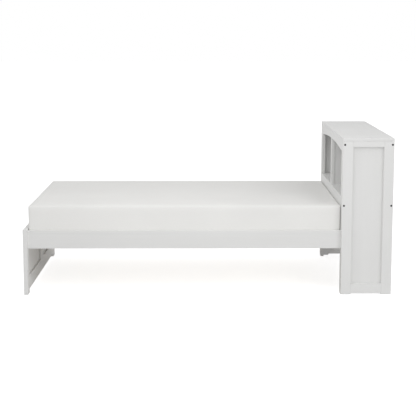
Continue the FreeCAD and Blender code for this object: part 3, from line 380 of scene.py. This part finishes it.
def round_corners(x, y, half_x, half_y, radius):
    """Carry a rectangle's points onto one with round corners. In each corner's square the point at
    (p, q) of the radius goes to the ring max(p, q) of a quarter circle, at an angle in proportion
    to q / p, so squares become rings and straight parts stay as they are. Returns the new points
    and each one's distance from the outline."""
    p = np.clip((np.abs(x) - (half_x - radius)) / radius, 0.0, 1.0)
    q = np.clip((np.abs(y) - (half_y - radius)) / radius, 0.0, 1.0)
    corner = (p > 0) & (q > 0)
    ring = np.maximum(p, q)
    safe = np.where(ring > 0, ring, 1.0)
    angle = np.where(p >= q, np.pi / 4 * q / safe, np.pi / 2 - np.pi / 4 * p / safe)
    new_x = np.where(corner, half_x - radius + radius * ring * np.cos(angle), np.abs(x))
    new_y = np.where(corner, half_y - radius + radius * ring * np.sin(angle), np.abs(y))
    straight = np.minimum(half_x - np.abs(x), half_y - np.abs(y))
    inset = np.where(corner, radius * (1.0 - ring), straight)
    return np.copysign(new_x, x), np.copysign(new_y, y), inset


def roll_height(inset, roll):
    """Height of a quarter circle over its foot, from 0 at the outline to the roll's radius."""
    reach = np.clip(roll - inset, 0.0, roll)
    return np.sqrt(np.maximum(roll ** 2 - reach ** 2, 0.0))


def grid_faces(columns, rows, closed=False):
    """Quads of a grid of points stored row by row, closed round its columns if asked."""
    index = np.arange(rows * columns).reshape(rows, columns)
    if closed:
        index = np.concatenate([index, index[:, :1]], axis=1)
    return np.stack([index[:-1, :-1], index[:-1, 1:], index[1:, 1:], index[1:, :-1]],
                    axis=-1).reshape(-1, 4)


def put_mesh(name, points, faces, smooth=True):
    """A mesh object from arrays, with its doubles merged and its faces turned outwards."""
    mesh = bpy.data.meshes.new(name)
    mesh.from_pydata(points.tolist(), [], faces.tolist())
    shell = bmesh.new()
    shell.from_mesh(mesh)
    bmesh.ops.remove_doubles(shell, verts=shell.verts, dist=WELD)
    bmesh.ops.recalc_face_normals(shell, faces=shell.faces)
    shell.to_mesh(mesh)
    shell.free()
    mesh.polygons.foreach_set("use_smooth", np.full(len(mesh.polygons), smooth))
    mesh.update()
    made = bpy.data.objects.new(name, mesh)
    bpy.context.scene.collection.objects.link(made)
    return made


def mattress_surface(half_x, half_y, height, settings):
    """The mattress as three sheets of two parameters each. Top and bottom: a grid over the
    outline, rounded at its corners, whose height is that of a quarter circle at the edge and level
    inside it. Side: the outline carried straight up between the two rolls. All three share their
    outlines."""
    roll, foot = settings.edge_roll, settings.foot_roll
    x, y = np.meshgrid(steps(half_x, roll, ROLL_STEPS, LENGTH_STEPS),
                       steps(half_y, roll, ROLL_STEPS, WIDTH_STEPS))
    flat_x, flat_y, inset = round_corners(x, y, half_x, half_y, settings.corner)
    shoulder = height - roll
    top_z = shoulder + roll_height(inset, roll)
    under_z = foot - roll_height(np.minimum(inset * foot / roll, foot), foot)
    top = np.stack([flat_x, flat_y, top_z], axis=-1).reshape(-1, 3)
    under = np.stack([flat_x, flat_y, under_z], axis=-1).reshape(-1, 3)
    rows, columns = x.shape
    ring = np.concatenate([
        np.arange(columns), np.arange(1, rows) * columns + columns - 1,
        (rows - 1) * columns + np.arange(columns - 2, -1, -1),
        np.arange(rows - 2, 0, -1) * columns,
    ])
    lift, across = np.meshgrid(np.linspace(foot, shoulder, SIDE_STEPS), ring, indexing="ij")
    side = np.concatenate([top[across, :2], lift[..., None]], axis=-1).reshape(-1, 3)
    sheet_faces = grid_faces(columns, rows)
    wall_faces = grid_faces(len(ring), len(lift), closed=True)
    points = np.concatenate([top, under, side])
    faces = np.concatenate([sheet_faces, sheet_faces[:, ::-1] + len(top),
                            wall_faces + len(top) + len(under)])
    return points, faces


def waves(points, size, seeds):
    """Slow unevenness from 0 to 1: a mean of sines that cross the place at several angles, each
    with its own seed, with one wave in about the given size."""
    total = np.zeros(len(points))
    for seed in seeds:
        direction = np.array([math.cos(seed), math.sin(seed), math.cos(2.3 * seed) * 0.7])
        turns = points @ direction / size * (1.0 + 0.13 * seed)
        total += np.sin(2.0 * np.pi * turns + 5.1 * seed)
    return 0.5 + 0.5 * total / len(seeds)


def coordinates(mesh):
    """The points of a mesh as an array of three columns."""
    numbers = np.empty(len(mesh.vertices) * 3)
    mesh.vertices.foreach_get("co", numbers)
    return numbers.reshape(-1, 3)


def fill_cover(made, settings, underside):
    """Fill the cover as cloth, by air pressure from inside over some frames without gravity. Each
    point's move is held inside an ellipsoid with the reach of the sides and of the top, and slow
    waves take a share of it away, where the padding gives. Below, the slats keep it flat."""
    scene = bpy.context.scene
    start = coordinates(made.data)
    filling = made.modifiers.new("filling", "CLOTH")
    filling.settings.use_pressure = True
    filling.settings.uniform_pressure_force = settings.pressure
    filling.settings.tension_stiffness = settings.stiffness
    filling.settings.compression_stiffness = settings.stiffness
    filling.settings.effector_weights.gravity = 0.0
    filling.point_cache.frame_start = 1
    filling.point_cache.frame_end = settings.frames
    for step in range(settings.frames):
        scene.frame_set(step + 1)
    filled = coordinates(made.evaluated_get(bpy.context.evaluated_depsgraph_get()).data)
    made.modifiers.remove(filling)
    scene.frame_set(1)
    move = filled - start
    held = np.array([settings.side_reach, settings.side_reach, settings.top_reach])
    move /= np.maximum(np.linalg.norm(move / held, axis=1), 1.0)[:, None]
    move *= 1.0 - settings.unevenness * waves(start, WAVE_SIZE, WAVE_SEEDS)[:, None]
    rested = start + move
    rested[:, 2] = np.maximum(rested[:, 2], underside)
    made.data.vertices.foreach_set("co", rested.ravel())
    made.data.update()


# ---------------------------------------------------------------------------------------------
# What a user may change
# ---------------------------------------------------------------------------------------------

class PaintSettings(bpy.types.PropertyGroup):
    colour: bpy.props.FloatVectorProperty(
        name="Paint", description="Colour of the satin paint", subtype="COLOR", size=3,
        min=0.0, max=1.0, default=(0.84, 0.84, 0.832))
    roughness: bpy.props.FloatProperty(
        name="Sheen", description="Roughness of the paint", default=0.52, min=0.0, max=1.0,
        subtype="FACTOR")
    grain_depth: bpy.props.FloatProperty(
        name="Grain depth", description="How far the grain stands through the paint",
        default=0.00012, min=0.0, max=0.001, unit="LENGTH", precision=5)
    edge_width: bpy.props.FloatProperty(
        name="Edge width", description="Width of the band where the paint is thin",
        default=0.004, min=0.0, max=0.02, unit="LENGTH")
    edge_wear: bpy.props.FloatProperty(
        name="Edge wear", description="How much the edges are rubbed", default=0.8, min=0.0,
        max=1.0, subtype="FACTOR")


class WoodSettings(bpy.types.PropertyGroup):
    colour: bpy.props.FloatVectorProperty(
        name="Early wood", description="Pale wood between the rings", subtype="COLOR", size=3,
        min=0.0, max=1.0, default=(0.71, 0.59, 0.43))
    ring_colour: bpy.props.FloatVectorProperty(
        name="Late wood", description="Dark wood of the rings", subtype="COLOR", size=3,
        min=0.0, max=1.0, default=(0.56, 0.42, 0.27))
    rings: bpy.props.FloatProperty(
        name="Rings", description="Ring waves per metre across the board, in radians",
        default=900.0, min=10.0, max=5000.0)


class HardwareSettings(bpy.types.PropertyGroup):
    dark: bpy.props.FloatVectorProperty(
        name="Dark steel", description="Colour of the bolts", subtype="COLOR", size=3,
        min=0.0, max=1.0, default=(0.02, 0.02, 0.022))
    plated: bpy.props.FloatVectorProperty(
        name="Plated steel", description="Colour of the screws and barrel nuts",
        subtype="COLOR", size=3, min=0.0, max=1.0, default=(0.55, 0.55, 0.56))
    brass: bpy.props.FloatVectorProperty(
        name="Brass", description="Colour of the threaded inserts", subtype="COLOR", size=3,
        min=0.0, max=1.0, default=(0.60, 0.43, 0.18))


class MattressSettings(bpy.types.PropertyGroup):
    colour: bpy.props.FloatVectorProperty(
        name="Cover", description="Colour of the knitted cover", subtype="COLOR", size=3,
        min=0.0, max=1.0, default=(0.93, 0.925, 0.905))
    edge_roll: bpy.props.FloatProperty(
        name="Top edge", description="Round of the top edge", default=0.007, min=0.002, max=0.08,
        unit="LENGTH")
    foot_roll: bpy.props.FloatProperty(
        name="Bottom edge", description="Round of the bottom edge", default=0.016, min=0.005,
        max=0.08, unit="LENGTH")
    corner: bpy.props.FloatProperty(
        name="Corner", description="Radius of the corners from above", default=0.008, min=0.002,
        max=0.2, unit="LENGTH")
    pressure: bpy.props.FloatProperty(
        name="Filling pressure", description="Air pressure that fills the cover", default=0.25,
        min=0.0, max=10.0)
    stiffness: bpy.props.FloatProperty(
        name="Cover stiffness", description="How little the cover stretches", default=40.0,
        min=1.0, max=200.0)
    frames: bpy.props.IntProperty(
        name="Filling frames", description="Frames over which the cover fills", default=10,
        min=2, max=40)
    side_reach: bpy.props.FloatProperty(
        name="Side reach", description="Furthest that a side may swell", default=0.0016,
        min=0.0, max=0.05, unit="LENGTH")
    top_reach: bpy.props.FloatProperty(
        name="Top reach", description="Furthest that the top may swell", default=0.005,
        min=0.0, max=0.05, unit="LENGTH")
    unevenness: bpy.props.FloatProperty(
        name="Unevenness", description="Share of the swelling lost where the padding gives",
        default=0.2, min=0.0, max=1.0, subtype="FACTOR")
    loop_pitch: bpy.props.FloatProperty(
        name="Loop pitch", description="Size of one knitted loop", default=0.0022, min=0.0005,
        max=0.01, unit="LENGTH", precision=5)
    loop_depth: bpy.props.FloatProperty(
        name="Loop depth", description="Relief of the knit", default=0.00025, min=0.0,
        max=0.002, unit="LENGTH", precision=5)


class StageSettings(bpy.types.PropertyGroup):
    sky: bpy.props.FloatProperty(
        name="Sky", description="Strength of the even light from all round", default=0.64,
        min=0.0, max=5.0)
    front_right: bpy.props.FloatProperty(
        name="Front right", description="Power of the large lamp in front, on the head's side",
        default=40.5, min=0.0, max=5000.0, unit="POWER")
    near_top: bpy.props.FloatProperty(
        name="Near top", description="Power of the lamp close above the near side", default=12.0,
        min=0.0, max=5000.0, unit="POWER")


# Where each lamp hangs and the side of its square, in metres
LAMPS = {
    "front_right": ((3.4, -4.6, 2.2), 2.4),
    "near_top": ((-0.3, -1.5, 2.3), 1.6),
}

SETTINGS = {
    "bed_paint": PaintSettings,
    "bed_wood": WoodSettings,
    "bed_hardware": HardwareSettings,
    "bed_mattress": MattressSettings,
    "bed_stage": StageSettings,
}


# ---------------------------------------------------------------------------------------------
# Operators
# ---------------------------------------------------------------------------------------------

class BED_OT_paint_bookcase(bpy.types.Operator):
    """Paint the end frames, the face frame, the back frame and the shelves of the bookcase"""
    bl_idname = "bed.paint_bookcase"
    bl_label = "Paint the bookcase"

    def execute(self, context):
        for node in END_FRAMES + FACE_FRAME + BACK_FRAME + SHELVES:
            put_on(node, satin_paint(node, context.scene.bed_paint))
        return {"FINISHED"}


class BED_OT_paint_footboard(bpy.types.Operator):
    """Paint the posts, rails, stile and panels of the footboard"""
    bl_idname = "bed.paint_footboard"
    bl_label = "Paint the footboard"

    def execute(self, context):
        for node in FOOTBOARD:
            put_on(node, satin_paint(node, context.scene.bed_paint))
        return {"FINISHED"}


class BED_OT_paint_side_rails(bpy.types.Operator):
    """Paint the two side rails"""
    bl_idname = "bed.paint_side_rails"
    bl_label = "Paint the side rails"

    def execute(self, context):
        for node in SIDE_RAILS:
            put_on(node, satin_paint(node, context.scene.bed_paint))
        return {"FINISHED"}


class BED_OT_finish_slats(bpy.types.Operator):
    """Leave the slats, their ledgers and the dowels in planed bare wood"""
    bl_idname = "bed.finish_slats"
    bl_label = "Finish the slats"

    def execute(self, context):
        for node in SLATS + LEDGERS + ["top_board_dowels"]:
            put_on(node, bare_wood(node, context.scene.bed_wood))
        return {"FINISHED"}


class BED_OT_finish_hardware(bpy.types.Operator):
    """Give the bolts, screws, barrel nuts and threaded inserts their metals"""
    bl_idname = "bed.finish_hardware"
    bl_label = "Finish the hardware"

    def execute(self, context):
        settings = context.scene.bed_hardware
        dark = metal("dark_steel", settings.dark, 0.45, 0.6, 0.25)
        plated = metal("plated_steel", settings.plated, 0.32, 1.0, 0.12)
        brass = metal("brass", settings.brass, 0.3, 1.0, 0.15)
        for nodes, material in ((DARK_STEEL, dark), (PLATED_STEEL, plated),
                                (["threaded_inserts"], brass)):
            for node in nodes:
                put_on(node, material)
        return {"FINISHED"}


class BED_OT_make_mattress(bpy.types.Operator):
    """Make the mattress: a firm slab in a knitted cover, which is filled as cloth"""
    bl_idname = "bed.make_mattress"
    bl_label = "Make the mattress"

    def execute(self, context):
        settings = context.scene.bed_mattress
        low, high = node_box("mattress")
        middle = (low + high) / 2.0
        half = (high - low) / 2.0
        underside = low[2] + SLAT_GAP
        points, faces = mattress_surface(half[0] + END_FULLNESS, half[1],
                                         high[2] - low[2] - TOP_ROOM, settings)
        points += np.array([middle[0], middle[1], underside])
        made = put_mesh("mattress_cover", points, faces)
        fill_cover(made, settings, underside)
        rounding = made.modifiers.new("rounding", "SUBSURF")
        rounding.levels = rounding.render_levels = 1
        made.data.materials.append(ticking(settings))
        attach(made, "root")
        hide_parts("mattress")
        return {"FINISHED"}


class BED_OT_set_stage(bpy.types.Operator):
    """Lay the pale floor, hang the lamps and set the camera at the photograph's viewing angle"""
    bl_idname = "bed.set_stage"
    bl_label = "Set the stage"

    def execute(self, context):
        settings = context.scene.bed_stage
        lay_floor()
        light_sky(settings.sky)
        for name, (place, size) in LAMPS.items():
            hang_lamp(f"{name}_lamp", place, size, getattr(settings, name))
        aim_camera()
        context.scene.view_settings.view_transform = "Standard"
        return {"FINISHED"}


def seen_directly(finish):
    """1 where the camera, or gloss or glass that shows it, looks at the surface, and 0 for the
    light that it gives the object."""
    path = finish.node("ShaderNodeLightPath")
    outputs = path.socket.node.outputs
    camera, glossy, through = (
        Signal(finish, outputs[name])
        for name in ("Is Camera Ray", "Is Glossy Ray", "Is Transmission Ray")
    )
    return camera.higher(glossy).higher(through)


def lay_floor():
    """A plain square floor, far wider than the view, that looks white where it is fully lit."""
    x, y = np.meshgrid([-FLOOR_HALF, FLOOR_HALF], [-FLOOR_HALF, FLOOR_HALF])
    points = np.stack([x, y, np.full_like(x, -FLOOR_DROP)], axis=-1).reshape(-1, 3)
    floor = put_mesh("floor", points, grid_faces(2, 2), smooth=False)
    finish = new_finish("floor")
    matte = finish.node("ShaderNodeBsdfDiffuse", {}, {"Color": rgba(EVEN, FLOOR_SHADE)})
    glow = finish.node("ShaderNodeEmission", {}, {
        "Color": WHITE, "Strength": seen_directly(finish) * FLOOR_GLOW,
    })
    floor.data.materials.append(finish.end(finish.node("ShaderNodeAddShader", {}, [matte, glow])))


def light_sky(strength):
    """An even sky, which the camera sees as white."""
    finish = Finish(bpy.data.worlds.new("studio"))
    light = finish.node("ShaderNodeBackground", {}, {
        "Color": WHITE, "Strength": seen_directly(finish) * (1.0 - strength) + strength,
    })
    bpy.context.scene.world = finish.end(light, "ShaderNodeOutputWorld")


def hang_lamp(name, place, size, power):
    """A square soft lamp that faces the bed."""
    lamp = bpy.data.lights.new(name, "AREA")
    lamp.shape = "SQUARE"
    lamp.size = size
    lamp.energy = power
    made = bpy.data.objects.new(name, lamp)
    made.location = place
    made.visible_camera = False
    bpy.context.scene.collection.objects.link(made)
    away = made.location - Vector((0.0, 0.0, LAMP_AIM))
    made.rotation_euler = away.to_track_quat("Z", "Y").to_euler()


def aim_camera():
    """The photograph's view: from the side, a little above, with a long lens."""
    view = bpy.data.cameras.new("photo_camera")
    view.sensor_width = SENSOR
    view.lens = LENS
    view.shift_y = SHIFT
    view.clip_end = FAR_CLIP
    made = bpy.data.objects.new("photo_camera", view)
    made.location = CAMERA_PLACE
    made.rotation_euler = (math.radians(90.0 + CAMERA_TILT), 0.0, math.radians(CAMERA_TURN))
    bpy.context.scene.collection.objects.link(made)
    bpy.context.scene.camera = made


OPERATORS = [
    BED_OT_paint_bookcase,
    BED_OT_paint_footboard,
    BED_OT_paint_side_rails,
    BED_OT_finish_slats,
    BED_OT_finish_hardware,
    BED_OT_make_mattress,
    BED_OT_set_stage,
]


class BED_PT_sidebar(bpy.types.Panel):
    """The bed's pieces and settings"""
    bl_idname = "BED_PT_sidebar"
    bl_label = "Bed"
    bl_space_type = "VIEW_3D"
    bl_region_type = "UI"
    bl_category = "Bed"

    def draw(self, context):
        for operator in OPERATORS:
            self.layout.operator(operator.bl_idname)
        for name, group in SETTINGS.items():
            box = self.layout.box()
            for key in group.__annotations__:
                box.prop(getattr(context.scene, name), key)


CLASSES = [*SETTINGS.values(), *OPERATORS, BED_PT_sidebar]


def register():
    for kind in CLASSES:
        bpy.utils.register_class(kind)
    for name, group in SETTINGS.items():
        setattr(bpy.types.Scene, name, bpy.props.PointerProperty(type=group))


def unregister():
    for name in SETTINGS:
        delattr(bpy.types.Scene, name)
    for kind in reversed(CLASSES):
        bpy.utils.unregister_class(kind)


def main():
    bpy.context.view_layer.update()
    register()
    for operator in OPERATORS:
        space, name = operator.bl_idname.split(".")
        if getattr(getattr(bpy.ops, space), name)() != {"FINISHED"}:
            raise RuntimeError(f"{operator.bl_label} didn't finish")


if __name__ == "__main__":
    main()
